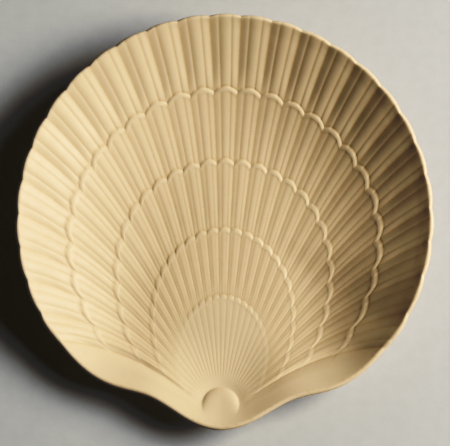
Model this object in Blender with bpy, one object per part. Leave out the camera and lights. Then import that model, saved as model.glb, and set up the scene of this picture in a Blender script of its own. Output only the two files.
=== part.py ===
"""A salad plate moulded as a scallop shell: a fired clay body with its foot ring and glaze coats.

Metres, +Z up, +Y towards the fan's top edge and -Y towards the hinge tip. The origin is on the table,
under the middle of the round rim.
"""

import math

import bmesh
import bpy
import numpy as np

# Driving dimensions: the plate as a whole
RIM_RADIUS = 0.105
RIM_HEIGHT = 0.031
HINGE_HEIGHT = 0.0195
WALL = 0.0045
RIM_WALL = 0.003
DISH_LEVEL = 0.15
HINGE_LEVEL = 0.50
DISH_STRAIGHT = 0.95
RIM_FALL_START = 100.0
RIM_FALL_END = 142.0

# Glaze coats, and the clearance between pieces that meet
GLAZE = 0.0004
GAP = 0.0003

# Foot ring
FOOT_HEIGHT = 0.0022
FOOT_RADIUS = 0.054
FOOT_WIDTH = 0.006
FOOT_CHAMFER = 0.0008
GLAZE_STOP = 0.001

# Shell fan: ribs across, bands from the inmost one to the rim
RIB_COUNT = 27
RIB_PITCH = 9.47
RIB_DRIFT = 0.4
DRIFT_RISE = (-3.0, 6.0)
DRIFT_END = (11.5, 13.5)
DRIFT_POWER = 1.5
RIB_ROUNDNESS = 2.2
BAND_WIDTHS = (0.0347, 0.0357, 0.0359, 0.0344)
BAND_STEPS = (0.0002, 0.0003, 0.0003, 0.0004)
BAND_SCALLOPS = (0.0006, 0.0010, 0.0018, 0.0019)
BAND_RIB_DEPTHS = (0.00006, 0.0002, 0.00034, 0.0004, 0.0011)
BAND_TAPERS = (0.20, 0.20, 0.165, 0.105)
BAND_TAPER_STARTS = (0.0, 0.0, 4.0, 7.5)
STEP_RUN = 0.0020
STEP_FADE = 1.3
RIM_SCALLOP = 0.0007
LIP = 0.002
FAN_SPREAD = 0.69
FAN_SIDE_SPREAD = 0.10

# Hinge end: boss, ears and the notch between each ear and the tip
BOSS_RADIUS = 0.0115
BOSS_HEIGHT = 0.0010
FOCUS_BELOW_BOSS = 0.0075
FAN_AT_BOSS = 75.0
EAR_CORNER = 142.0
EAR_GROOVE = 0.0007
EAR_RISE = 0.010
EAR_INSET = 0.0012
EAR_INSET_START = 120.0
EAR_INSET_END = 130.0
NOTCH_DEPTH = 0.0069
NOTCH_ANGLE = 158.0
NOTCH_SPREAD = 11.7
TIP_REACH = 0.0010
TIP_START = 165.0

# Mesh fineness: points across one rib and across one ear, how late an ear's columns turn round the boss,
# and every how many columns a hidden face keeps
RIB_SAMPLES = 4
EAR_SAMPLES = 4
EAR_SWEEP = 2.6
HIDDEN_STRIDE = 2
BAND_ROWS = ((0.33, 0.67), (0.5,), (0.5,), (0.5,), (0.4, 0.75))
EDGE_ANGLES = (45.0,)
BACK_SHARES = (0.72, 0.45, 0.2, 0.0)
BOSS_RINGS = (0.82, 0.5)
WELL_RINGS = (0.55,)
SMOOTH_ANGLE = 45.0

# Sizes that follow from the driving ones
FLOOR_HEIGHT = FOOT_HEIGHT + WALL
EDGE_RADIUS = RIM_WALL / 2
COAT = GLAZE + GAP
FAN_HALF = RIB_COUNT / 2
FOOT_OUTER = FOOT_RADIUS + FOOT_WIDTH / 2
FOOT_INNER = FOOT_RADIUS - FOOT_WIDTH / 2
WELL_RADIUS = FOOT_INNER - GLAZE_STOP
PARTING = math.degrees(math.asin(GAP / 2 / EDGE_RADIUS))
HALF_TURN = 180.0


def smooth(value, low, high):
    """Rises from 0 at low to 1 at high with no kink at either end."""
    share = np.clip((value - low) / (high - low), 0, 1)
    return share * share * (3 - 2 * share)


def edge_inset(angle):
    """How far the outline lies inside the rim's circle, by the angle in degrees from the fan's top."""
    tip = smooth(angle, TIP_START, HALF_TURN)
    shoulder = EAR_INSET * smooth(angle, EAR_INSET_START, EAR_INSET_END)
    notch = NOTCH_DEPTH * np.exp(-(((angle - NOTCH_ANGLE) / NOTCH_SPREAD) ** 2))
    return shoulder * (1 - tip) + notch - TIP_REACH * tip


def crest_radius(angle):
    """Distance from the plate's middle to the top of its rounded edge."""
    return RIM_RADIUS - EDGE_RADIUS - edge_inset(angle)


def crest_point(angle, drawn_in=0.0):
    radius = crest_radius(np.abs(angle)) - drawn_in
    turn = np.radians(angle)
    return np.stack([radius * np.sin(turn), radius * np.cos(turn)], axis=-1)


BOSS = np.array([0.0, -(crest_radius(HALF_TURN) - BOSS_RADIUS)])
FOCUS = BOSS - np.array([0.0, FOCUS_BELOW_BOSS])


def climb(share, level):
    """Area under a slope that is 0 up to level, grows smoothly to 1 where the dish goes straight, and stays."""
    run = DISH_STRAIGHT - level
    part = np.clip((share - level) / run, 0, 1)
    return run * (part**3 - part**4 / 2) + np.clip(share - DISH_STRAIGHT, 0, None)


def hollow(points, middle, rim_depth):
    """Height of a dished surface, from this height in the middle to this depth under the edge's crest."""
    x, y = points[..., 0], points[..., 1]
    angle = np.degrees(np.arctan2(np.abs(x), y))
    hinge = smooth(angle, RIM_FALL_START, RIM_FALL_END)
    edge = RIM_HEIGHT - (RIM_HEIGHT - HINGE_HEIGHT) * hinge
    level = DISH_LEVEL + (HINGE_LEVEL - DISH_LEVEL) * hinge
    share = np.hypot(x, y) / crest_radius(angle)
    return middle + (edge - rim_depth - middle) * climb(share, level) / climb(1.0, level)


def dish(points):
    """Height of the plain upper face, with no relief, at each point."""
    return hollow(points, FLOOR_HEIGHT, 0.0)


def back(points):
    """Height of the back at each point: the wall thins from the middle to the rim."""
    return hollow(points, FOOT_HEIGHT, RIM_WALL)


def lobe(ribs):
    """0 in the middle of a rib and 1 in the grooves beside it, by the rib number with its fraction."""
    return np.abs(2 * (ribs - np.round(ribs))) ** RIB_ROUNDNESS


def rib_ends(ribs, shares=1.0):
    """Where each rib meets the rim's crest, or would if it ran on as it does at these shares of its way.

    The right half's ribs drift back a little as they run outwards, so the fan isn't quite even.
    """
    drift = RIB_DRIFT * smooth(ribs, *DRIFT_RISE) * (1 - smooth(ribs, *DRIFT_END))
    turn = RIB_PITCH * (ribs - drift * shares**DRIFT_POWER)
    inner = 1 - smooth(np.abs(ribs), FAN_HALF - 1, FAN_HALF)
    return crest_point(turn, RIM_SCALLOP * lobe(ribs) * inner)


def fan_points(ribs, shares):
    """Points on the ribs, at these shares of the way from the focus to the rim."""
    ends = rib_ends(ribs, shares) - FOCUS
    length = np.hypot(ends[:, 0], ends[:, 1])
    spread = FAN_SPREAD + FAN_SIDE_SPREAD * (np.abs(ribs) / FAN_HALF) ** 4
    turn = np.arctan2(ends[:, 0], ends[:, 1]) * (spread + (1 - spread) * shares**2)
    return FOCUS + (shares * length)[:, None] * np.stack([np.sin(turn), np.cos(turn)], axis=-1)


def held_rib(ribs):
    """The rib number, nearly constant across each rib's middle, so that band ends step from rib to rib."""
    middle = np.round(ribs)
    return middle + (ribs - middle) * np.abs(2 * (ribs - middle)) ** 2


def band_edge(ribs, band):
    """Share of the way from the focus at which this band ends, scalloped from rib to rib."""
    centre_rib = crest_radius(0.0) - FOCUS[1]
    reach = centre_rib - sum(BAND_WIDTHS[band:])
    start = BAND_TAPER_STARTS[band]
    side = np.clip((np.abs(held_rib(ribs)) - start) / (FAN_HALF - start), 0, 1)
    length = np.linalg.norm(rib_ends(ribs) - FOCUS, axis=1)
    middle = reach / centre_rib * (1 - BAND_TAPERS[band] * side**2)
    return middle - BAND_SCALLOPS[band] * lobe(ribs) / length


def boss_circle(turns):
    """The foot of the boss, a circle that touches the crest at the hinge tip, by the angle from +Y."""
    turns = np.radians(turns)
    return BOSS + BOSS_RADIUS * np.stack([np.sin(turns), np.cos(turns)], axis=-1)


def fan_rows(ribs):
    """(points, relief) of each row of the fan, from the boss outwards to the crest of the rim."""
    bands = len(BAND_RIB_DEPTHS)
    length = np.linalg.norm(rib_ends(ribs) - FOCUS, axis=1)
    groove = lobe(ribs)
    side = EAR_GROOVE * smooth(np.abs(ribs), FAN_HALF - 0.5, FAN_HALF)
    steps = [step * (1 - smooth(np.abs(ribs), FAN_HALF - STEP_FADE, FAN_HALF)) for step in BAND_STEPS]
    begin = boss_circle(FAN_AT_BOSS * ribs / FAN_HALF)
    rows = [(begin, np.zeros_like(ribs))]
    inner = None
    for band in range(bands):
        outmost = band == bands - 1
        outer = 1 - LIP / length if outmost else band_edge(ribs, band)
        foot = 0.0 if band == 0 else steps[band - 1]
        for share in (*BAND_ROWS[band], 1.0):
            depth = BAND_RIB_DEPTHS[band] * (share if band == 0 else 1.0)
            fade = share if band == 0 else 1 - share if outmost else 1.0
            if band == 0:
                points = begin + (fan_points(ribs, outer) - begin) * share
            else:
                points = fan_points(ribs, inner + (outer - inner) * share)
            rows.append((points, -foot * (1 - share) - depth * groove - fade * side))
        inner = outer + STEP_RUN / length
        if not outmost:
            drop = steps[band] + BAND_RIB_DEPTHS[band] * groove + side
            rows.append((fan_points(ribs, inner), -drop))
    rows.append((rib_ends(ribs), np.zeros_like(ribs)))
    return rows


def ear_points(line):
    """Points of the right ear, column by column from the fan's last groove to the outline."""
    steps = np.linalg.norm(np.diff(line, axis=0), axis=1)
    along = np.concatenate([[0.0], np.cumsum(steps)]) / steps.sum()
    outline = crest_point(HALF_TURN - (HALF_TURN - EAR_CORNER) * along)
    fan_side = RIB_PITCH * FAN_HALF
    columns = []
    for column in range(1, EAR_SAMPLES + 1):
        across = column / EAR_SAMPLES
        start = boss_circle(FAN_AT_BOSS + (HALF_TURN - FAN_AT_BOSS) * across**EAR_SWEEP)
        end = crest_point(fan_side + (EAR_CORNER - fan_side) * across)
        start_bow = start - (line[0] + (outline[0] - line[0]) * across)
        end_bow = end - (line[-1] + (outline[-1] - line[-1]) * across)
        straight = line + (outline - line) * across
        columns.append(straight + (1 - along)[:, None] * start_bow + along[:, None] * end_bow)
    return np.stack(columns, axis=1)


def face_grid():
    """The glazed upper face: rows from the boss circle to the crest, columns from ear to ear."""
    ribs = np.linspace(-FAN_HALF, FAN_HALF, RIB_COUNT * RIB_SAMPLES + 1)
    rows = fan_rows(ribs)
    fan = np.stack([points for points, relief in rows])
    right = ear_points(fan[:, -1])
    left = right[:, ::-1] * np.array([-1.0, 1.0])
    points = np.concatenate([left, fan, right], axis=1)
    relief = np.stack([relief for points, relief in rows])
    away = np.linalg.norm(right - fan[:, -1:], axis=2)
    ear = relief[:, -1:] * np.clip(1 - away / EAR_RISE, 0, 1) ** 2
    relief = np.concatenate([ear[:, ::-1], relief, ear], axis=1)
    return np.concatenate([points, (dish(points) + relief)[..., None]], axis=2)


def boss_ring(circle, share):
    """A ring of the boss at this share of its radius: proud on the fan's side, level at the tip."""
    points = BOSS + (circle[:, :2] - BOSS) * share
    turned = (circle[:, 1] - BOSS[1]) / BOSS_RADIUS
    proud = BOSS_HEIGHT * (1 + turned * share) / 2
    return np.concatenate([points, (dish(points) + proud)[:, None]], axis=1)


def outline_places(rows, columns):
    """Grid places round the outline, from the hinge tip up the left side, along the rim and back down."""
    left = [(row, columns[0]) for row in range(rows)]
    rim = [(rows - 1, column) for column in columns[1:]]
    right = [(row, columns[-1]) for row in range(rows - 2, 0, -1)]
    return left + rim + right


class Outline:
    """The crest of the plate's edge as a closed ring of points with their outward directions."""

    def __init__(self, grid, columns):
        every = outline_places(len(grid), range(grid.shape[1]))
        points = np.array([grid[place] for place in every])
        ahead = np.roll(points, -1, axis=0) - np.roll(points, 1, axis=0)
        outward = np.stack([-ahead[:, 1], ahead[:, 0]], axis=1)
        outward /= np.linalg.norm(outward, axis=1)[:, None]
        self.places = outline_places(len(grid), columns)
        kept = [every.index(place) for place in self.places]
        self.crest = points[kept]
        self.outward = outward[kept]

    def edge(self, angle, depth):
        """A ring on the rounded edge, this deep under its surface: 90 is the crest, -90 the underside."""
        turn = math.radians(angle)
        reach = EDGE_RADIUS - depth
        points = self.crest[:, :2] + self.outward * reach * math.cos(turn)
        heights = self.crest[:, 2] - EDGE_RADIUS + reach * math.sin(turn)
        return np.concatenate([points, heights[:, None]], axis=1)

    def back(self, radius, share, depth):
        """A ring on the back, this share of the way out from a circle round the middle to the edge."""
        middle = self.crest[:, :2] / np.linalg.norm(self.crest[:, :2], axis=1)[:, None] * radius
        points = middle + (self.crest[:, :2] - middle) * share
        return np.concatenate([points, (back(points) + depth)[:, None]], axis=1)


def level(ring, height):
    """The same ring laid flat at one height."""
    return np.concatenate([ring[:, :2], np.full((len(ring), 1), height)], axis=1)


def add_points(bm, points):
    return [bm.verts.new(point) for point in points]


def join_rings(bm, first, second):
    for index, vert in enumerate(first):
        bm.faces.new((first[index - 1], vert, second[index], second[index - 1]))


def join_all(bm, rings):
    """Adds rings of points, each joined to the next, and returns the first and last ring's vertices."""
    rings = [add_points(bm, ring) if isinstance(ring, np.ndarray) else ring for ring in rings]
    for first, second in zip(rings, rings[1:]):
        join_rings(bm, first, second)
    return rings[0], rings[-1]


def close_ring(bm, ring, point):
    """Closes a ring with triangles to one point."""
    middle = bm.verts.new(point)
    for index, vert in enumerate(ring):
        bm.faces.new((ring[index - 1], vert, middle))


def add_face(bm, grid, columns, depth):
    """Adds the upper face, sunk by this depth, and returns its vertices along the outline."""
    sink = np.array([0.0, 0.0, depth])
    verts = {}
    for row in range(len(grid)):
        for column in columns:
            if row == 0 and column == columns[-1]:
                verts[row, column] = verts[row, columns[0]]
            else:
                verts[row, column] = bm.verts.new(grid[row, column] - sink)
    for row in range(len(grid) - 1):
        for near, far in zip(columns, columns[1:]):
            corners = (row, near), (row, far), (row + 1, far), (row + 1, near)
            bm.faces.new([verts[corner] for corner in corners])
    circle = np.array([grid[0, column] for column in columns[:-1]])
    rings = [[verts[0, column] for column in columns[:-1]]]
    rings += [boss_ring(circle, share) - sink for share in BOSS_RINGS]
    close_ring(bm, join_all(bm, rings)[1], boss_ring(circle, 0.0)[0] - sink)
    return [verts[place] for place in outline_places(len(grid), columns)]


def close_strip(bm, fine, fine_places, coarse, coarse_places):
    """Joins two rings round the outline where the second has only some of the first's places."""
    at = [fine_places.index(place) for place in coarse_places] + [len(fine)]
    for index, vert in enumerate(coarse):
        after = coarse[(index + 1) % len(coarse)]
        between = [fine[step % len(fine)] for step in range(at[index], at[index + 1] + 1)]
        bm.faces.new([after, vert, *between])


def make_object(name, bm, material):
    bmesh.ops.recalc_face_normals(bm, faces=bm.faces)
    mesh = bpy.data.meshes.new(name)
    bm.to_mesh(mesh)
    bm.free()
    mesh.materials.append(material)
    mesh.shade_smooth()
    mesh.set_sharp_from_angle(angle=math.radians(SMOOTH_ANGLE))
    piece = bpy.data.objects.new(name, mesh)
    bpy.context.scene.collection.objects.link(piece)
    return piece


def make_material(name, colour, roughness):
    material = bpy.data.materials.new(name)
    material.use_nodes = True
    shader = material.node_tree.nodes["Principled BSDF"]
    shader.inputs["Base Color"].default_value = (*colour, 1.0)
    shader.inputs["Roughness"].default_value = roughness
    shader.inputs["Metallic"].default_value = 0.0
    return material


def make_plate_body(grid, columns, material):
    """The fired clay shell under the glaze, bare where the foot ring is joined on."""
    bm = bmesh.new()
    ring = Outline(grid, columns)
    rim = add_face(bm, grid, columns, COAT)
    angles = [*EDGE_ANGLES, 0.0, *(-angle for angle in EDGE_ANGLES[::-1])]
    edge = [ring.edge(angle, COAT) for angle in angles]
    back = [ring.back(FOOT_OUTER + GLAZE_STOP, share, COAT) for share in (1.0, *BACK_SHARES)]
    seat = [ring.back(radius, 0.0, COAT) for radius in (FOOT_OUTER, FOOT_INNER)]
    well = [ring.back(share * WELL_RADIUS, 0.0, COAT) for share in (1.0, *WELL_RINGS)]
    last = join_all(bm, [rim, *edge, *back, *seat, *well])[1]
    close_ring(bm, last, (0.0, 0.0, FOOT_HEIGHT + COAT))
    return make_object("plate_body", bm, material)


def make_face_glaze(grid, columns, material):
    """The coat over the face and the upper half of the rounded edge."""
    bm = bmesh.new()
    every = range(grid.shape[1])
    shown, hidden = Outline(grid, every), Outline(grid, columns)
    angles = [*EDGE_ANGLES, PARTING]
    over = add_face(bm, grid, every, 0.0)
    outer = join_all(bm, [over, *(shown.edge(angle, 0.0) for angle in angles)])[1]
    under = add_face(bm, grid, columns, GLAZE)
    inner = join_all(bm, [under, *(hidden.edge(angle, GLAZE) for angle in angles)])[1]
    close_strip(bm, outer, shown.places, inner, hidden.places)
    return make_object("face_glaze", bm, material)


def make_back_glaze(grid, columns, material):
    """The coat under the edge and over the back, down to a bare line just outside the foot ring."""
    bm = bmesh.new()
    ring = Outline(grid, columns)
    angles = [-PARTING, *(-angle for angle in EDGE_ANGLES[::-1])]
    ends = []
    for depth in (0.0, GLAZE):
        edge = [ring.edge(angle, depth) for angle in angles]
        back = [ring.back(FOOT_OUTER + GLAZE_STOP, share, depth) for share in (1.0, *BACK_SHARES)]
        ends.append(join_all(bm, [*edge, *back]))
    for outer, inner in zip(*ends):
        join_rings(bm, outer, inner)
    return make_object("back_glaze", bm, material)


def make_foot_well_glaze(grid, columns, material):
    """The round coat on the back inside the foot ring."""
    bm = bmesh.new()
    ring = Outline(grid, columns)
    rims = []
    for depth in (0.0, GLAZE):
        rings = [ring.back(share * WELL_RADIUS, 0.0, depth) for share in (1.0, *WELL_RINGS)]
        rim, last = join_all(bm, rings)
        close_ring(bm, last, (0.0, 0.0, FOOT_HEIGHT + depth))
        rims.append(rim)
    join_rings(bm, *rims)
    return make_object("foot_well_glaze", bm, material)


def make_foot_ring(grid, columns, material):
    """The ring the plate stands on, its top shaped to the back and its bare underside flat."""
    bm = bmesh.new()
    ring = Outline(grid, columns)
    outer, inner = (ring.back(radius, 0.0, GLAZE) for radius in (FOOT_OUTER, FOOT_INNER))
    ground = [FOOT_OUTER - FOOT_CHAMFER, FOOT_INNER + FOOT_CHAMFER]
    tread = [level(ring.back(radius, 0.0, 0.0), 0.0) for radius in ground]
    section = [outer, level(outer, FOOT_CHAMFER), *tread, level(inner, FOOT_CHAMFER), inner]
    first, last = join_all(bm, section)
    join_rings(bm, last, first)
    return make_object("foot_ring", bm, material)


def main():
    for piece in list(bpy.data.objects):
        bpy.data.objects.remove(piece, do_unlink=True)
    clay = make_material("bare_clay", (0.70, 0.60, 0.46), 0.85)
    glaze = make_material("cream_glaze", (0.72, 0.54, 0.33), 0.25)
    grid = face_grid()
    columns = range(0, grid.shape[1], HIDDEN_STRIDE)
    make_plate_body(grid, columns, clay)
    make_foot_ring(grid, columns, clay)
    make_face_glaze(grid, columns, glaze)
    make_back_glaze(grid, columns, glaze)
    make_foot_well_glaze(grid, columns, glaze)


main()
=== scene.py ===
"""Looks of the shell salad plate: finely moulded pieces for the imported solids, the table, light and camera.

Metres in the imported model's frame: +Z up, +Y towards the fan's top edge and -Y towards the hinge tip.
"""

import math

import bmesh
import bpy
import numpy as np
from mathutils import Matrix, Vector


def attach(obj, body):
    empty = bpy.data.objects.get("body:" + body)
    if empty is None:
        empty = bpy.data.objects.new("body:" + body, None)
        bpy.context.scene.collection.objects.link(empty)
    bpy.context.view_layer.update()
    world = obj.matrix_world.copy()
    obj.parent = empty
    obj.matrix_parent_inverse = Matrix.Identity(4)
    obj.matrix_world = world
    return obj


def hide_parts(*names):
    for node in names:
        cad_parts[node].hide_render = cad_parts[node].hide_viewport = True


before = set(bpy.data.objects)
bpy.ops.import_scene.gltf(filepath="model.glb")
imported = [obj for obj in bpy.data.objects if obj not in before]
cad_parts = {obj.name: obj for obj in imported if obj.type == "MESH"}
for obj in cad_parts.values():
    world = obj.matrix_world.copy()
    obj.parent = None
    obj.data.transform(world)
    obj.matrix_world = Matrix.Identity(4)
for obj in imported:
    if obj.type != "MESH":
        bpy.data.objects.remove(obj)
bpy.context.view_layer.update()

# The plate's driving dimensions, the same as in the part's source
RIM_RADIUS = 0.105
RIM_HEIGHT = 0.031
HINGE_HEIGHT = 0.0195
WALL = 0.0045
RIM_WALL = 0.003
DISH_LEVEL = 0.15
HINGE_LEVEL = 0.50
DISH_STRAIGHT = 0.95
RIM_FALL_START = 100.0
RIM_FALL_END = 142.0
GLAZE = 0.0004
GAP = 0.0003
FOOT_HEIGHT = 0.0022
FOOT_RADIUS = 0.054
FOOT_WIDTH = 0.006
FOOT_CHAMFER = 0.0008
GLAZE_STOP = 0.001
RIB_COUNT = 27
RIB_PITCH = 9.47
RIB_DRIFT = 0.4
DRIFT_RISE = (-3.0, 6.0)
DRIFT_END = (11.5, 13.5)
DRIFT_POWER = 1.5
RIB_ROUNDNESS = 2.2
BAND_WIDTHS = (0.0347, 0.0357, 0.0359, 0.0344)
BAND_STEPS = (0.0002, 0.0003, 0.0003, 0.0004)
BAND_SCALLOPS = (0.0006, 0.0010, 0.0018, 0.0019)
BAND_RIB_DEPTHS = (0.00006, 0.0002, 0.00034, 0.0004, 0.0011)
BAND_TAPERS = (0.20, 0.20, 0.165, 0.105)
BAND_TAPER_STARTS = (0.0, 0.0, 4.0, 7.5)
STEP_FADE = 1.3
RIM_SCALLOP = 0.0007
FAN_SPREAD = 0.69
FAN_SIDE_SPREAD = 0.10
FAN_SIDE_POWER = 4
BOSS_RADIUS = 0.0115
FOCUS_BELOW_BOSS = 0.0075
FAN_AT_BOSS = 75.0
EAR_GROOVE = 0.0007
EAR_RISE = 0.010
EAR_INSET = 0.0012
EAR_INSET_START = 120.0
EAR_INSET_END = 130.0
NOTCH_DEPTH = 0.0069
NOTCH_ANGLE = 158.0
NOTCH_SPREAD = 11.7
TIP_REACH = 0.0010
TIP_START = 165.0

# Finer moulding than the solids have: arched rib sections, fine grooves on the ribs and rolled steps
ARCH_POWER = 2.0
GROOVE_ROUND = 0.09
FINE_PLACE = 0.40
FINE_DEPTHS = (0.0, 0.00003, 0.00009, 0.00015, 0.00026)
FINE_WIDTHS = (0.2, 0.2, 0.17, 0.14, 0.11)
RIB_GROWTH = 0.012
FINE_END = (0.0004, 0.0018)
RIB_RIM_END = (0.0, 0.0030)
RIM_GROOVE = 0.7
OUTER_GROOVE = 0.85
STEP_FALL = 0.0018
STEP_SIDE_FALL = 0.0010
STEP_SIDE_DROPS = (0.55, 0.35, 0.65, 0.85)
STEP_SIDES = (3.0, 10.0)
BEAD_HEIGHT = 0.00010
BEAD_FADE = (4.0, 11.0)
BEAD_SIDE_DROP = 0.5
BEAD_PLACE = 0.0008
BEAD_WIDTH = 0.0007
FIRST_STEP_ENDS = (3.0, 8.0)
FIRST_STEP_FADE = 0.8
LIP_RADIUS = 0.0018
LIP_BLEND = 0.006
SIDE_RIM_END = (0.0, 0.018)
SIDE_GROWTH = (0.006, 0.045)
BUTTON_RADIUS = 0.0093
BOSS_DOME = 0.0013
BOSS_FULLNESS = 4.0
BOSS_MOAT = 0.0004
MOAT_WIDTH = 0.0035
MOAT_POWER = 6
BOSS_LEVEL = (-0.70, 0.50)
BOSS_CALM = (0.0030, 0.0095)

# Where the glaze pools, in grooves and along steps, which also paints the shade there as darker colour, and
# where it thins, on the edge
GROOVE_POOL_SHADE_POWER = 8
FINE_POOL_SHADE = 0.6
STEP_POOL_SHADE = 0.7
STEP_POOL_SHADE_WIDTH = 0.0008
FIRST_POOL_SHADE = 0.5
FIRST_POOL_SHADE_POWER = 4
EAR_POOL_SHADE = 0.6
EAR_POOL_SHADE_WIDTH = 0.0010
THIN_WIDTH = 0.0020
THIN_UNDER_EDGE = 0.3

# Mesh fineness: places across half a rib, round an ear, along a band, down a step and round the edge
RIB_PLACES = (0.15, 0.19, 0.22, 0.25, 0.285, 0.36, 0.44, 0.485)
EAR_COLUMNS = 45
EAR_CROWDING = 1.3
EAR_HIDDEN = 5
EAR_SWEEP = 2.6
EAR_BOW = 3.0
HUB_MARGIN = 0.0012
FIRST_PLACES = (0.009, 0.018, 0.027, 0.036, 0.045, 0.06, 0.08, 0.11, 0.15)
FIRST_PLACES_REPLACE = 4
BAND_PLACES = (
    0.012, 0.03, 0.06, 0.12, 0.20, 0.30, 0.40, 0.50, 0.60, 0.70,
    0.80, 0.87, 0.92, 0.945, 0.96, 0.972, 0.982, 0.991, 1.0,
)
STEP_PLACES = (0.15, 0.30, 0.50, 0.70, 0.85, 1.0)
RIM_RUNS = (0.0045, 0.0036, 0.0028, 0.0021, 0.0015, 0.0011, 0.0007, 0.0003, 0.0)
EDGE_ANGLES = (75.0, 60.0, 45.0, 30.0, 15.0)
FACE_COAT_END = 45.0
BACK_PLACES = (1.0, 0.93, 0.85, 0.76, 0.66, 0.55, 0.44, 0.33, 0.22, 0.12, 0.05, 0.0)
BOSS_PLACES = (0.985, 0.965, 0.94, 0.90, 0.84, 0.76, 0.64, 0.48, 0.30, 0.12)
WELL_PLACES = (1.0, 0.985, 0.9, 0.75, 0.5, 0.25)
ROUND_STEPS = 6
TURN_POINTS = 240
OUTWARD_REACH = 6
EDGE_TRIM = 0.00004
SHARP_ANGLE = 60.0

# Sizes that follow from the ones above
FLOOR_HEIGHT = FOOT_HEIGHT + WALL
EDGE_RADIUS = RIM_WALL / 2
COAT = GLAZE + GAP
FAN_HALF = RIB_COUNT / 2
FOOT_OUTER = FOOT_RADIUS + FOOT_WIDTH / 2
FOOT_INNER = FOOT_RADIUS - FOOT_WIDTH / 2
WELL_RADIUS = FOOT_INNER - GLAZE_STOP
PARTING = math.degrees(math.asin(GAP / 2 / EDGE_RADIUS))
HALF_TURN = 180.0
HALF_RIB = 0.5

# The picture: a long lens nearly overhead, leaning to the hinge side, and one soft lamp from the right
IMAGE_WIDTH = 450
SENSOR_MM = 36.0
FOCAL_PIXELS = 2365.6
CAMERA_DISTANCE = 1.2
CAMERA_TARGET = Vector((0.0, 0.0, 0.015))
CAMERA_LEAN = -9.0
CAMERA_SIDE = 0.93
CAMERA_TWIST = 1.28
CAMERA_OFFSET = (0.00024, -0.00049)
LAMP_ELEVATION = 37.5
LAMP_AZIMUTH = 11.0
LAMP_DISTANCE = 1.75
LAMP_WIDTH = 1.09
LAMP_DEPTH = 0.84
LAMP_POWER = 60.0
LAMP_COLOUR = (1.0, 0.985, 0.96)
FILL = 0.018
FILL_COLOUR = (1.0, 0.84, 0.64, 1)
TABLE_SIZE = 6.0
TONE_WHITE = 1.4
TONES = (
    (0.012, 0.009), (0.10, 0.024), (0.24, 0.110), (0.40, 0.300),
    (0.56, 0.505), (0.72, 0.682), (0.90, 0.828), (1.10, 0.935),
)
GREEN_TONES = ((0.08, 0.076), (0.18, 0.187), (0.45, 0.452), (0.68, 0.662), (0.85, 0.845))
BLUE_TONES = ((0.04, 0.030), (0.10, 0.093), (0.21, 0.219), (0.30, 0.300), (0.40, 0.378), (0.60, 0.584))

# Colours, and the sockets of a node that mixes two of them: share, first, second and result
CREAM = (0.600, 0.487, 0.344, 1)
PALE_CREAM = (0.620, 0.497, 0.354, 1)
MOTTLED_CREAM = (0.56, 0.45, 0.32, 1)
# Pooled glaze and painted shade: the darker colour put in the grooves, step creases and the groove beside the
# ears
POOLED_GLAZE_AND_SHADE = (0.50, 0.355, 0.20, 1)
THIN_GLAZE = (0.45, 0.30, 0.15, 1)
SPECK = (0.30, 0.19, 0.09, 1)
GLAZE_SHINE = 0.09
CLAY = (0.60, 0.48, 0.34, 1)
PALE_CLAY = (0.72, 0.61, 0.46, 1)
WORN_CLAY = (0.42, 0.38, 0.32, 1)
TABLE = (0.484, 0.477, 0.488, 1)
PALE_TABLE = (0.502, 0.495, 0.506, 1)
TABLE_GRAIN = (0.430, 0.422, 0.428, 1)
MIX_INPUTS = (0, 6, 7)
MIX_RESULT = 2


def smooth(value, low, high):
    """Rises from 0 at low to 1 at high with no kink at either end."""
    share = np.clip((value - low) / (high - low), 0, 1)
    return share * share * (3 - 2 * share)


def bell(distance, width):
    return np.exp(-((distance / width) ** 2))


def edge_inset(angle):
    """How far the outline lies inside the rim's circle, by the angle in degrees from the fan's top."""
    tip = smooth(angle, TIP_START, HALF_TURN)
    shoulder = EAR_INSET * smooth(angle, EAR_INSET_START, EAR_INSET_END)
    return shoulder * (1 - tip) + NOTCH_DEPTH * bell(angle - NOTCH_ANGLE, NOTCH_SPREAD) - TIP_REACH * tip


def crest_radius(angle):
    """Distance from the plate's middle to the top of its rounded edge."""
    return RIM_RADIUS - EDGE_RADIUS - edge_inset(angle)


def crest_point(angle, drawn_in=0.0):
    radius = crest_radius(np.abs(angle)) - drawn_in
    turn = np.radians(angle)
    return np.stack([radius * np.sin(turn), radius * np.cos(turn)], axis=-1)


BOSS = np.array([0.0, -(crest_radius(HALF_TURN) - BOSS_RADIUS)])
FOCUS = BOSS - np.array([0.0, FOCUS_BELOW_BOSS])


def polar(points):
    """Radius of each point, and its angle in degrees from the fan's top."""
    x, y = points[..., 0], points[..., 1]
    return np.hypot(x, y), np.degrees(np.arctan2(np.abs(x), y))


def edge_height(angle):
    return RIM_HEIGHT - (RIM_HEIGHT - HINGE_HEIGHT) * smooth(angle, RIM_FALL_START, RIM_FALL_END)


def climb(share, level):
    """Area under a slope that is 0 up to level and grows smoothly to 1 where the dish goes straight."""
    run = DISH_STRAIGHT - level
    part = np.clip((share - level) / run, 0, 1)
    return run * (part**3 - part**4 / 2) + np.clip(share - DISH_STRAIGHT, 0, None)


def dish_level(angle):
    """Share of the way out at which the dish starts to climb."""
    return DISH_LEVEL + (HINGE_LEVEL - DISH_LEVEL) * smooth(angle, RIM_FALL_START, RIM_FALL_END)


def hollow(points, middle, rim_depth):
    """Height of a dished surface, from this height in the middle to this depth under the edge's crest."""
    radius, angle = polar(points)
    level = dish_level(angle)
    share = climb(radius / crest_radius(angle), level) / climb(1.0, level)
    return middle + (edge_height(angle) - rim_depth - middle) * share


def dish(points):
    """Height of the plain upper face, with no relief, at each point."""
    return hollow(points, FLOOR_HEIGHT, 0.0)


def back(points):
    """Height of the back at each point: the wall thins from the middle to the rim."""
    return hollow(points, FOOT_HEIGHT, RIM_WALL)


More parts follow.
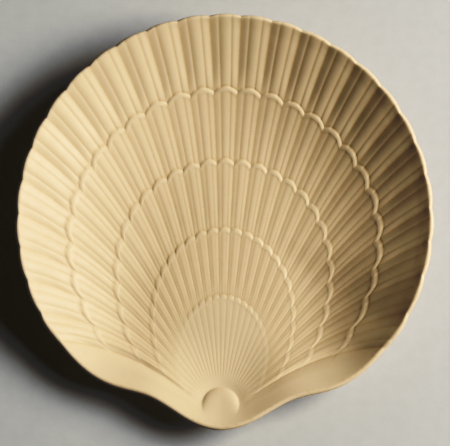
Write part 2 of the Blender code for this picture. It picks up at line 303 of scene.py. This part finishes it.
def lip(points):
    """Relief that rounds the dish over into the rim's edge, with a slight thickening inside it."""
    radius, angle = polar(points)
    inside = np.clip(crest_radius(angle) - radius, 0, None)
    rise = edge_height(angle) - FLOOR_HEIGHT
    slope = rise / crest_radius(angle) / climb(1.0, dish_level(angle))
    turn = np.arctan(slope)
    begin = LIP_RADIUS * np.sin(turn)
    thick = LIP_RADIUS * (np.cos(turn) - 1) + slope * begin
    rounded = LIP_RADIUS * (np.sqrt(1 - np.clip(inside / LIP_RADIUS, 0, 1) ** 2) - 1) + slope * inside
    return np.where(inside < begin, rounded, thick * (1 - smooth(inside, begin, begin + LIP_BLEND)))


def boss(points):
    """Relief of the round boss and the shallow moat on its fan side; both fade out towards the tip."""
    away = points - BOSS
    share = np.hypot(away[..., 0], away[..., 1]) / BUTTON_RADIUS
    raised = smooth(away[..., 1] / BUTTON_RADIUS / np.maximum(share, 1), *BOSS_LEVEL)
    dome = BOSS_DOME * (1 - share**BOSS_FULLNESS) - BOSS_MOAT * share**MOAT_POWER
    moat = -BOSS_MOAT * bell((share - 1) * BUTTON_RADIUS, MOAT_WIDTH)
    return raised * np.where(share < 1, dome, moat)


def boss_calm(points):
    """Rises from 0 beside the boss to 1 a little way off, where the relief of ribs and ears begins."""
    away = points - BOSS
    return smooth(np.hypot(away[..., 0], away[..., 1]) - BUTTON_RADIUS, *BOSS_CALM)


def raise_points(points, relief):
    """The plan points lifted to the glazed surface, with this relief over the plain dish."""
    heights = dish(points) + lip(points) + boss(points) + relief
    return np.concatenate([points, heights[..., None]], axis=-1)


def across_rib(ribs):
    """0 in the middle of a rib and 1 in the grooves beside it, by the rib number with its fraction."""
    return np.abs(2 * (ribs - np.round(ribs)))


def arch(ribs):
    """Fall of a rib's arched section, from 0 on its crown to 1 in the rounded groove beside it."""
    whole = math.hypot(1, GROOVE_ROUND)
    fall = (whole - np.hypot(1 - across_rib(ribs), GROOVE_ROUND)) / (whole - GROOVE_ROUND)
    return fall**ARCH_POWER


def fine_grooves(ribs, band):
    """1 along the two thin lines that border each rib's crown."""
    return bell(across_rib(ribs) - FINE_PLACE, FINE_WIDTHS[band])


def rib_ends(ribs, shares=1.0):
    """Where each rib meets the rim's crest, or would if it ran on as at these shares of its way."""
    drift = RIB_DRIFT * smooth(ribs, *DRIFT_RISE) * (1 - smooth(ribs, *DRIFT_END))
    turn = RIB_PITCH * (ribs - drift * shares**DRIFT_POWER)
    inner = 1 - smooth(np.abs(ribs), FAN_HALF - 1, FAN_HALF)
    return crest_point(turn, RIM_SCALLOP * across_rib(ribs) ** RIB_ROUNDNESS * inner)


def fan_points(ribs, shares):
    """Points on the ribs, at these shares of the way from the focus to the rim."""
    ends = rib_ends(ribs, shares) - FOCUS
    length = np.hypot(ends[:, 0], ends[:, 1])
    spread = FAN_SPREAD + FAN_SIDE_SPREAD * (np.abs(ribs) / FAN_HALF) ** FAN_SIDE_POWER
    turn = np.arctan2(ends[:, 0], ends[:, 1]) * (spread + (1 - spread) * shares**2)
    return FOCUS + (shares * length)[:, None] * np.stack([np.sin(turn), np.cos(turn)], axis=-1)


def held_rib(ribs):
    """The rib number, nearly constant across each rib, so that band ends step from rib to rib."""
    middle = np.round(ribs)
    return middle + (ribs - middle) * np.abs(2 * (ribs - middle)) ** 2


def band_edge(ribs, band):
    """Share of the way from the focus at which this band ends, scalloped from rib to rib."""
    centre_rib = crest_radius(0.0) - FOCUS[1]
    reach = centre_rib - sum(BAND_WIDTHS[band:])
    start = BAND_TAPER_STARTS[band]
    side = np.clip((np.abs(held_rib(ribs)) - start) / (FAN_HALF - start), 0, 1)
    length = np.linalg.norm(rib_ends(ribs) - FOCUS, axis=1)
    middle = reach / centre_rib * (1 - BAND_TAPERS[band] * side**2)
    return middle - BAND_SCALLOPS[band] * across_rib(ribs) ** RIB_ROUNDNESS / length


def hub_circle(turns):
    """The face grid's inmost ring, a little inside the boss, at these angles from the fan's middle."""
    turns = np.radians(turns)
    return BOSS + (BUTTON_RADIUS - HUB_MARGIN) * np.stack([np.sin(turns), np.cos(turns)], axis=-1)


class Fan:
    """Rows of the ribbed fan, boss to crest: plan points, relief, and where glaze pools, which also paints
    the shade there, or thins.
    """

    def __init__(self, ribs):
        self.ribs = ribs
        self.length = np.linalg.norm(rib_ends(ribs) - FOCUS, axis=1)
        self.fall = arch(ribs)
        self.side = EAR_GROOVE * smooth(np.abs(ribs), FAN_HALF - HALF_RIB, FAN_HALF)
        self.held = 1 - smooth(np.abs(ribs), FAN_HALF - STEP_FADE, FAN_HALF)
        self.run = (STEP_FALL + STEP_SIDE_FALL * smooth(np.abs(ribs), *STEP_SIDES)) / self.length
        self.first_ends = 1 - FIRST_STEP_FADE * smooth(np.abs(ribs), *FIRST_STEP_ENDS)
        self.points, self.relief, self.pooled, self.thinned = [], [], [], []
        self.add_first_band()
        for band in range(1, len(BAND_RIB_DEPTHS)):
            self.add_step(band - 1)
            self.add_band(band)

    def add(self, points, relief, pooled, thinned):
        self.points.append(points)
        self.relief.append(relief)
        self.pooled.append(pooled)
        self.thinned.append(thinned)

    def step(self, band):
        """Height of the step at this band's end, lower towards the fan's sides, where it dies away."""
        lower = 1 - (1 - STEP_SIDE_DROPS[band]) * smooth(np.abs(self.ribs), *STEP_SIDES)
        return BAND_STEPS[band] * lower * self.held * (self.first_ends if band == 0 else 1.0)

    def beside(self, points):
        """Depth of the groove along the ears, which dies away towards the boss."""
        return self.side * smooth(np.linalg.norm(points - BOSS, axis=1), *SIDE_GROWTH)

    def add_first_band(self):
        begin = hub_circle(FAN_AT_BOSS * self.ribs / FAN_HALF)
        end = fan_points(self.ribs, band_edge(self.ribs, 0))
        reach = np.linalg.norm(end - begin, axis=1)
        for share in (0.0, *FIRST_PLACES, *BAND_PLACES[FIRST_PLACES_REPLACE:]):
            left = (1 - share) * reach
            points = begin + (end - begin) * share
            grown = boss_calm(points)
            sunk = grown * (BAND_RIB_DEPTHS[0] * self.fall + self.beside(points))
            relief = self.bead(left) * self.first_ends - sunk
            # Painted shade with pooled glaze: darker colour in this band's grooves
            self.add(points, relief, FIRST_POOL_SHADE * grown * self.fall**FIRST_POOL_SHADE_POWER, 0 * left)

    def bead(self, left):
        """The low bead along a band's outer end, by the distance left to it."""
        softer = 1 - BEAD_SIDE_DROP * smooth(np.abs(self.ribs), *BEAD_FADE)
        return BEAD_HEIGHT * softer * bell(left - BEAD_PLACE, BEAD_WIDTH) * self.held

    def depth(self, band, along):
        """Depth of the grooves in this band, which grows outwards from the depth in the band before."""
        before = BAND_RIB_DEPTHS[band - 1]
        return before + (BAND_RIB_DEPTHS[band] - before) * smooth(along, 0.0, RIB_GROWTH)

    def add_step(self, band):
        """The short rolled drop from this band's end to the next band's start."""
        outer = band_edge(self.ribs, band)
        top = self.relief[-1]
        fine = FINE_DEPTHS[band + 1] * fine_grooves(self.ribs, band + 1)
        beside = self.beside(fan_points(self.ribs, outer + self.run))
        bottom = -self.step(band) - BAND_RIB_DEPTHS[band] * self.fall - beside - fine
        # Painted shade with pooled glaze: darker colour down the step into the crease at its foot
        marked = STEP_POOL_SHADE * self.held * (self.first_ends if band == 0 else 1.0)
        for share in STEP_PLACES:
            points = fan_points(self.ribs, outer + share * self.run)
            shaped = smooth(share, 0.0, 1.0)
            self.add(points, top + (bottom - top) * shaped, marked * shaped**2, 0 * top)

    def add_band(self, band):
        outmost = band == len(BAND_RIB_DEPTHS) - 1
        inner = band_edge(self.ribs, band - 1) + self.run
        outer = 1 - RIM_RUNS[0] / self.length if outmost else band_edge(self.ribs, band)
        shares = [inner + (outer - inner) * place for place in BAND_PLACES]
        if outmost:
            shares += [1 - run / self.length for run in RIM_RUNS[1:]]
        end = 1.0 if outmost else outer
        fine = fine_grooves(self.ribs, band)
        marked = STEP_POOL_SHADE * self.held * (self.first_ends if band == 1 else 1.0)
        for share in shares:
            along = (share - inner) * self.length
            left = (end - share) * self.length
            ramp = -self.step(band - 1) * np.clip(1 - along / (along + left), 0, 1)
            deep = 1.0
            if outmost:
                deep = OUTER_GROOVE * (RIM_GROOVE + (1 - RIM_GROOVE) * smooth(left, *RIB_RIM_END))
            lines = fine * (deep if outmost else smooth(left, *FINE_END))
            points = fan_points(self.ribs, share)
            beside = self.beside(points) * (smooth(left, *SIDE_RIM_END) if outmost else 1.0)
            grooves = deep * self.depth(band, along) * self.fall
            relief = ramp - grooves - beside - FINE_DEPTHS[band] * lines
            relief = relief + (0.0 if outmost else self.bead(left))
            # Painted shade with pooled glaze: darker colour in the grooves, the fine lines and the crease
            # after the step
            pooled = np.maximum(deep * self.fall**GROOVE_POOL_SHADE_POWER, FINE_POOL_SHADE * lines)
            pooled = np.maximum(pooled, marked * bell(along, STEP_POOL_SHADE_WIDTH))
            thinned = bell(left, THIN_WIDTH) if outmost else 0 * left
            self.add(points, relief, pooled, thinned)


def ear_columns(line):
    """Plan points of the right ear, in columns from the fan's last groove round to the hinge tip."""
    steps = np.linalg.norm(np.diff(line, axis=0), axis=1)
    along = np.concatenate([[0.0], np.cumsum(steps)])[:, None] / steps.sum()
    bow = line - (line[0] + (line[-1] - line[0]) * along)
    fan_side = RIB_PITCH * FAN_HALF
    columns = []
    for across in (np.arange(1, EAR_COLUMNS + 1) / EAR_COLUMNS) ** EAR_CROWDING:
        begin = hub_circle(FAN_AT_BOSS + (HALF_TURN - FAN_AT_BOSS) * across**EAR_SWEEP)
        end = crest_point(fan_side + (HALF_TURN - fan_side) * across)
        columns.append(begin + (end - begin) * along + bow * (1 - across) ** EAR_BOW)
    return np.stack(columns, axis=1)


class Face:
    """The glazed face as a grid: rows are rings round the boss, columns run out from it to the crest.

    The columns start at the hinge tip, go up the left ear, along the fan and down the right ear.
    """

    def __init__(self):
        half = np.array([0.0, *RIB_PLACES])
        offsets = np.concatenate([[-HALF_RIB], -half[:0:-1], half])
        middles = np.arange(RIB_COUNT) - (RIB_COUNT - 1) / 2
        ribs = np.append((middles[:, None] + offsets).ravel(), FAN_HALF)
        fan = Fan(ribs)
        plan = np.stack(fan.points)
        right = ear_columns(plan[:, -1])
        away = np.linalg.norm(right - plan[:, -1:], axis=2)
        radius, angle = polar(right)
        inside = crest_radius(angle) - radius
        ear_relief = np.stack(fan.relief)[:, -1:] * np.clip(1 - away / EAR_RISE, 0, 1) ** 2
        # Painted shade with pooled glaze: darker colour along the groove beside the ear
        ear_pooled = EAR_POOL_SHADE * bell(away, EAR_POOL_SHADE_WIDTH) * smooth(inside, *RIB_RIM_END) * boss_calm(right)
        left = right * np.array([-1.0, 1.0])
        whole = np.concatenate([left[:, ::-1], plan, right[:, :-1]], axis=1)
        self.points = raise_points(whole, self.with_ears(fan.relief, ear_relief))
        pooled = self.with_ears(fan.pooled, ear_pooled)
        thinned = self.with_ears(fan.thinned, bell(inside, THIN_WIDTH))
        self.marks = np.stack([pooled, thinned], axis=-1)
        self.every = list(range(self.points.shape[1]))
        ear_kept = list(range(0, EAR_COLUMNS, EAR_HIDDEN))
        ribs_kept = [EAR_COLUMNS + index for index in range(0, len(ribs), len(offsets) // 2)]
        self.hidden = ear_kept + ribs_kept + [len(self.every) - column for column in ear_kept[:0:-1]]

    @staticmethod
    def with_ears(rows, ear):
        """The fan's rows with the ear's on both sides: the left one is its mirror image."""
        return np.concatenate([ear[:, ::-1], np.stack(rows), ear[:, :-1]], axis=1)


class Outline:
    """The crest of the plate's edge as a closed ring of points with their outward directions."""

    def __init__(self, face, columns):
        points = face.points[-1]
        ahead = np.roll(points, -OUTWARD_REACH, axis=0) - np.roll(points, OUTWARD_REACH, axis=0)
        outward = np.stack([-ahead[:, 1], ahead[:, 0]], axis=1)
        outward /= np.linalg.norm(outward, axis=1)[:, None]
        self.crest = points[columns]
        self.outward = outward[columns]

    def edge(self, angle, depth):
        """A ring on the rounded edge, this deep under its surface: 90 is the crest, -90 the underside."""
        turn = math.radians(angle)
        reach = EDGE_RADIUS - depth
        points = self.crest[:, :2] + self.outward * (reach - EDGE_TRIM) * math.cos(turn)
        heights = self.crest[:, 2] - EDGE_RADIUS + reach * math.sin(turn)
        return np.concatenate([points, heights[:, None]], axis=1)

    def back(self, radius, share, depth):
        """A ring on the back, this share of the way out from a circle round the middle to the edge."""
        middle = self.crest[:, :2] / np.linalg.norm(self.crest[:, :2], axis=1)[:, None] * radius
        points = middle + (self.crest[:, :2] - middle) * share
        return np.concatenate([points, (back(points) + depth)[:, None]], axis=1)


def round_ring(radius, depth):
    """An even circle on the back, this deep under its surface."""
    turns = np.arange(TURN_POINTS) * 2 * math.pi / TURN_POINTS
    points = radius * np.stack([np.sin(turns), np.cos(turns)], axis=-1)
    return np.concatenate([points, (back(points) + depth)[:, None]], axis=1)


class Skin:
    """Collects the points and faces of one closed piece, with each point's marks: pooled glaze with painted
    shade, and thinned glaze.
    """

    def __init__(self):
        self.points, self.marks, self.faces, self.count = [], [], [], 0

    def add(self, points, marks=(0.0, 0.0)):
        """Adds points and returns their numbers, in the same arrangement."""
        places = points.shape[:-1]
        numbers = np.arange(self.count, self.count + math.prod(places)).reshape(places)
        self.points.append(points.reshape(-1, 3))
        self.marks.append(np.broadcast_to(np.asarray(marks), (*places, 2)).reshape(-1, 2))
        self.count += numbers.size
        return numbers

    def join(self, first, second):
        """Quads between two closed rings of equal length."""
        self.faces += np.stack([np.roll(first, 1), first, second, np.roll(second, 1)], axis=1).tolist()

    def join_all(self, rings):
        for first, second in zip(rings, rings[1:]):
            self.join(first, second)
        return rings[-1]

    def cap(self, ring, point):
        """Triangles from a closed ring to one point."""
        middle = self.add(np.asarray(point, dtype=float)[None])
        self.faces += np.stack([np.roll(ring, 1), ring, np.full(len(ring), middle[0])], axis=1).tolist()

    def add_face(self, face, columns, depth):
        """Adds the upper face, sunk by this depth, and returns its ring of points along the crest."""
        sink = np.array([0.0, 0.0, depth])
        rows = zip(face.points[:, columns], face.marks[:, columns])
        rings = [self.add(points - sink, marks) for points, marks in rows]
        hub = face.points[0, columns, :2]
        inner = [self.add(raise_points(BOSS + (hub - BOSS) * share, 0.0) - sink) for share in BOSS_PLACES]
        self.cap(self.join_all([rings[0], *inner]), raise_points(BOSS, np.array(0.0)) - sink)
        return self.join_all(rings)

    def strip(self, fine, coarse, steps):
        """Closes the gap between a fine ring and one that has only these steps of it."""
        bounds = [*steps, len(fine)]
        for index, corner in enumerate(coarse):
            between = [fine[step % len(fine)] for step in range(bounds[index], bounds[index + 1] + 1)]
            self.faces.append([coarse[(index + 1) % len(coarse)], corner, *between])

    def make(self, name, material, node):
        """Builds the piece, which stands for this CAD node."""
        mesh = bpy.data.meshes.new(name)
        faces = [list(map(int, face)) for face in self.faces]
        mesh.from_pydata(np.concatenate(self.points).tolist(), [], faces)
        marks = np.concatenate(self.marks)
        # The first mark darkens the colour as pooled glaze and painted shade in grooves and creases
        for column, mark in enumerate(("pooled", "thinned")):
            layer = mesh.attributes.new(mark, "FLOAT", "POINT")
            layer.data.foreach_set("value", marks[:, column].astype(np.float32))
        bm = bmesh.new()
        bm.from_mesh(mesh)
        bmesh.ops.recalc_face_normals(bm, faces=bm.faces)
        bm.to_mesh(mesh)
        bm.free()
        mesh.shade_smooth()
        mesh.set_sharp_from_angle(angle=math.radians(SHARP_ANGLE))
        mesh.materials.append(material)
        piece = bpy.data.objects.new(name, mesh)
        bpy.context.scene.collection.objects.link(piece)
        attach(piece, "root")
        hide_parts(node)


def make_face_coat(face, material):
    """The coat over the face and round the edge, to a line under it that the view from above hides."""
    skin = Skin()
    shown, hidden = Outline(face, face.every), Outline(face, face.hidden)
    angles = (*EDGE_ANGLES, 0.0, *(-angle for angle in EDGE_ANGLES[::-1] if angle <= FACE_COAT_END))
    over = skin.add_face(face, face.every, 0.0)
    edge = []
    for angle in angles:
        thinned = max(0.0, math.sin(math.radians(angle)))
        edge.append(skin.add(shown.edge(angle, 0.0), (0.0, thinned)))
    outer = skin.join_all([over, *edge])
    under = skin.add_face(face, face.hidden, GLAZE)
    inner = skin.join_all([under, *(skin.add(hidden.edge(angle, GLAZE)) for angle in angles)])
    skin.strip(outer, inner, face.hidden)
    skin.make("face_coat", material, "face_glaze")


def make_back_coat(face, material):
    """The coat under the edge and over the back, down to a bare line just outside the foot ring."""
    skin = Skin()
    shown, hidden = Outline(face, face.every), Outline(face, face.hidden)
    lower = (-angle for angle in EDGE_ANGLES[::-1] if angle > FACE_COAT_END)
    angles = (-FACE_COAT_END - 2 * PARTING, *lower)
    ends = []
    for ring, depth in ((shown, 0.0), (hidden, GLAZE)):
        edge = [skin.add(ring.edge(angle, depth), (0.0, THIN_UNDER_EDGE)) for angle in angles]
        inner = [skin.add(ring.back(FOOT_OUTER + GLAZE_STOP, share, depth)) for share in BACK_PLACES]
        skin.join_all([*edge, *inner])
        ends.append((edge[0], inner[-1]))
    for fine, coarse in zip(*ends):
        skin.strip(fine, coarse, face.hidden)
    skin.make("back_coat", material, "back_glaze")


def make_well_coat(material):
    """The round coat on the back inside the foot ring."""
    skin = Skin()
    rims = []
    for depth in (0.0, GLAZE):
        rings = [skin.add(round_ring(share * WELL_RADIUS, depth)) for share in WELL_PLACES]
        skin.cap(skin.join_all(rings), (0.0, 0.0, FOOT_HEIGHT + depth))
        rims.append(rings[0])
    skin.join(*rims)
    skin.make("well_coat", material, "foot_well_glaze")


def make_foot(material):
    """The ring the plate stands on, its bare tread flat between two rounded corners."""
    skin = Skin()
    turns = np.linspace(0, math.pi / 2, ROUND_STEPS)
    section = [round_ring(FOOT_OUTER, GLAZE)]
    corners = [(FOOT_OUTER - FOOT_CHAMFER, 1.0, turns), (FOOT_INNER + FOOT_CHAMFER, -1.0, turns[::-1])]
    for radius, side, sweep in corners:
        for turn in sweep:
            ring = round_ring(radius + side * FOOT_CHAMFER * math.cos(turn), 0.0)
            ring[:, 2] = FOOT_CHAMFER * (1 - math.sin(turn))
            section.append(ring)
    section.append(round_ring(FOOT_INNER, GLAZE))
    rings = [skin.add(ring) for ring in section]
    skin.join(skin.join_all(rings), rings[0])
    skin.make("foot", material, "foot_ring")


def make_clay_body(face, material):
    """The fired clay under the coats, which shows only in the bare lines beside the foot."""
    skin = Skin()
    ring = Outline(face, face.hidden)
    rim = skin.add_face(face, face.hidden, COAT)
    angles = [*EDGE_ANGLES, 0.0, *(-angle for angle in EDGE_ANGLES[::-1])]
    rings = [ring.edge(angle, COAT) for angle in angles]
    rings += [ring.back(FOOT_OUTER + GLAZE_STOP, share, COAT) for share in BACK_PLACES]
    rings += [ring.back(radius, 0.0, COAT) for radius in (FOOT_OUTER, FOOT_INNER)]
    rings += [ring.back(share * WELL_RADIUS, 0.0, COAT) for share in WELL_PLACES]
    last = skin.join_all([rim, *(skin.add(points) for points in rings)])
    skin.cap(last, (0.0, 0.0, FOOT_HEIGHT + COAT))
    skin.make("clay_body", material, "plate_body")


class Paint:
    """A procedural material under construction, with its nodes in the plate's own coordinates."""

    def __init__(self, name):
        self.material = bpy.data.materials.new(name)
        self.material.use_nodes = True
        self.tree = self.material.node_tree
        self.shader = self.tree.nodes["Principled BSDF"]
        self.place = self.tree.nodes.new("ShaderNodeTexCoord").outputs["Object"]

    def node(self, kind, values=(), **settings):
        made = self.tree.nodes.new(kind)
        for name, value in settings.items():
            setattr(made, name, value)
        for name, value in dict(values).items():
            self.set(made.inputs[name], value)
        return made

    def set(self, socket, value):
        """Links an output to this input, or gives the input a fixed value."""
        if isinstance(value, bpy.types.NodeSocket):
            self.tree.links.new(value, socket)
        else:
            socket.default_value = value

    def noise(self, scale, detail, roughness=0.5):
        values = {"Vector": self.place, "Scale": scale, "Detail": detail, "Roughness": roughness}
        return self.node("ShaderNodeTexNoise", values).outputs["Fac"]

    def ramp(self, value, low, high, bottom=0.0, top=1.0):
        values = {"Value": value, "From Min": low, "From Max": high, "To Min": bottom, "To Max": top}
        return self.node("ShaderNodeMapRange", values).outputs["Result"]

    def times(self, first, second):
        made = self.node("ShaderNodeMath", operation="MULTIPLY")
        self.set(made.inputs[0], first)
        self.set(made.inputs[1], second)
        return made.outputs["Value"]

    def mark(self, name):
        return self.node("ShaderNodeAttribute", attribute_name=name).outputs["Fac"]

    def mix(self, share, first, second):
        made = self.node("ShaderNodeMix", data_type="RGBA")
        for number, value in zip(MIX_INPUTS, (share, first, second)):
            self.set(made.inputs[number], value)
        return made.outputs[MIX_RESULT]

    def bump(self, height, strength, distance, before=None):
        values = {"Height": height, "Strength": strength, "Distance": distance}
        if before is not None:
            values["Normal"] = before
        return self.node("ShaderNodeBump", values).outputs["Normal"]

    def finish(self, **inputs):
        for name, value in inputs.items():
            self.set(self.shader.inputs[name.replace("_", " ")], value)
        return self.material


def glaze_paint():
    """Cream satin glaze: warmer and darker where it pools in the grooves and creases, which also paints the
    shade there, rusty flecks where it thins on the edge.
    """
    paint = Paint("cream_glaze_look")
    broad = paint.noise(scale=24.0, detail=2.0)
    mottle = paint.noise(scale=190.0, detail=4.0, roughness=0.6)
    grain = paint.noise(scale=1400.0, detail=2.0)
    rusty = paint.noise(scale=420.0, detail=3.0, roughness=0.6)
    spots = paint.noise(scale=850.0, detail=1.0)
    colour = paint.mix(paint.ramp(broad, 0.36, 0.64), CREAM, PALE_CREAM)
    colour = paint.mix(paint.ramp(mottle, 0.30, 0.70, bottom=0.0, top=0.16), colour, MOTTLED_CREAM)
    # Painted shade: grooves, step creases and the ear groove are darkened in the colour, as pooled glaze
    pooled = paint.times(paint.mark("pooled"), paint.ramp(mottle, 0.25, 0.75, bottom=0.45, top=0.75))
    colour = paint.mix(pooled, colour, POOLED_GLAZE_AND_SHADE)
    flecks = paint.times(paint.mark("thinned"), paint.ramp(rusty, 0.52, 0.68, bottom=0.0, top=0.22))
    colour = paint.mix(flecks, colour, THIN_GLAZE)
    colour = paint.mix(paint.ramp(spots, 0.75, 0.78, bottom=0.0, top=0.25), colour, SPECK)
    roughness = paint.ramp(mottle, 0.30, 0.70, bottom=0.30, top=0.40)
    normal = paint.bump(mottle, strength=0.20, distance=0.00025)
    normal = paint.bump(grain, strength=0.10, distance=0.00008, before=normal)
    return paint.finish(
        Base_Color=colour, Roughness=roughness, Normal=normal, Specular_IOR_Level=GLAZE_SHINE
    )


def clay_paint():
    """Unglazed fired clay: buff, grainy and dull, a little grey from use."""
    paint = Paint("bare_clay_look")
    grain = paint.noise(scale=900.0, detail=4.0, roughness=0.65)
    scuffs = paint.noise(scale=70.0, detail=3.0, roughness=0.6)
    colour = paint.mix(paint.ramp(grain, 0.3, 0.7), CLAY, PALE_CLAY)
    colour = paint.mix(paint.ramp(scuffs, 0.48, 0.68, bottom=0.0, top=0.45), colour, WORN_CLAY)
    roughness = paint.ramp(grain, 0.3, 0.7, bottom=0.78, top=0.95)
    normal = paint.bump(grain, strength=0.5, distance=0.00015)
    return paint.finish(Base_Color=colour, Roughness=roughness, Normal=normal)


def table_paint():
    """A plain pale table top with the faintest clouds and grain."""
    paint = Paint("pale_table")
    cloud = paint.noise(scale=9.0, detail=3.0)
    grain = paint.noise(scale=160.0, detail=4.0, roughness=0.6)
    colour = paint.mix(paint.ramp(cloud, 0.3, 0.7), TABLE, PALE_TABLE)
    colour = paint.mix(paint.ramp(grain, 0.35, 0.60, bottom=0.25, top=0.0), colour, TABLE_GRAIN)
    roughness = paint.ramp(cloud, 0.3, 0.7, bottom=0.60, top=0.70)
    return paint.finish(Base_Color=colour, Roughness=roughness)


def make_table():
    half = TABLE_SIZE / 2
    mesh = bpy.data.meshes.new("table_top")
    corners = [(-half, -half, 0), (half, -half, 0), (half, half, 0), (-half, half, 0)]
    mesh.from_pydata(corners, [], [(0, 1, 2, 3)])
    mesh.materials.append(table_paint())
    table = bpy.data.objects.new("table_top", mesh)
    bpy.context.scene.collection.objects.link(table)


def facing(place, direction, up):
    """A pose at this place, looking against the direction, with this way up."""
    away = direction.normalized()
    right = up.cross(away).normalized()
    pose = Matrix((right, away.cross(right), away)).transposed().to_4x4()
    pose.translation = place
    return pose


def add_lamp():
    lamp = bpy.data.lights.new("window_lamp", "AREA")
    lamp.shape = "RECTANGLE"
    lamp.size = LAMP_WIDTH
    lamp.size_y = LAMP_DEPTH
    lamp.energy = LAMP_POWER
    lamp.color = LAMP_COLOUR
    turn, tilt = math.radians(LAMP_AZIMUTH), math.radians(LAMP_ELEVATION)
    direction = Vector((math.cos(tilt) * math.cos(turn), math.cos(tilt) * math.sin(turn), math.sin(tilt)))
    holder = bpy.data.objects.new("window_lamp", lamp)
    holder.matrix_world = facing(direction * LAMP_DISTANCE, direction, Vector((0, 0, 1)))
    bpy.context.scene.collection.objects.link(holder)


def add_camera():
    lens = bpy.data.cameras.new("photo_camera")
    lens.sensor_width = SENSOR_MM
    lens.lens = SENSOR_MM * FOCAL_PIXELS / IMAGE_WIDTH
    side, lean = math.sin(math.radians(CAMERA_SIDE)), math.sin(math.radians(CAMERA_LEAN))
    twist = Matrix.Rotation(math.radians(CAMERA_TWIST), 3, "Z")
    direction = twist @ Vector((side, lean, math.sqrt(1 - side**2 - lean**2)))
    pose = facing(CAMERA_TARGET + direction * CAMERA_DISTANCE, direction, twist @ Vector((0, 1, 0)))
    pose.translation += pose.col[0].to_3d() * CAMERA_OFFSET[0] + pose.col[1].to_3d() * CAMERA_OFFSET[1]
    camera = bpy.data.objects.new("photo_camera", lens)
    camera.matrix_world = pose
    bpy.context.scene.collection.objects.link(camera)
    bpy.context.scene.camera = camera


def add_surroundings():
    """The weak light from the rest of the room, and the picture's contrast and tint."""
    scene = bpy.context.scene
    world = bpy.data.worlds.new("room")
    world.use_nodes = True
    background = world.node_tree.nodes["Background"]
    background.inputs["Color"].default_value = FILL_COLOUR
    background.inputs["Strength"].default_value = FILL
    scene.world = world
    scene.view_settings.view_transform = "Standard"
    scene.view_settings.use_curve_mapping = True
    mapping = scene.view_settings.curve_mapping
    mapping.white_level = (TONE_WHITE, TONE_WHITE, TONE_WHITE)
    _, green, blue, combined = mapping.curves
    for light, tone in TONES:
        combined.points.new(light / TONE_WHITE, tone)
    for curve, tones in ((green, GREEN_TONES), (blue, BLUE_TONES)):
        for before, after in tones:
            curve.points.new(before, after)
    mapping.update()


def main():
    face = Face()
    glaze, clay = glaze_paint(), clay_paint()
    make_face_coat(face, glaze)
    make_back_coat(face, glaze)
    make_well_coat(glaze)
    make_foot(clay)
    make_clay_body(face, clay)
    make_table()
    add_lamp()
    add_camera()
    add_surroundings()


main()
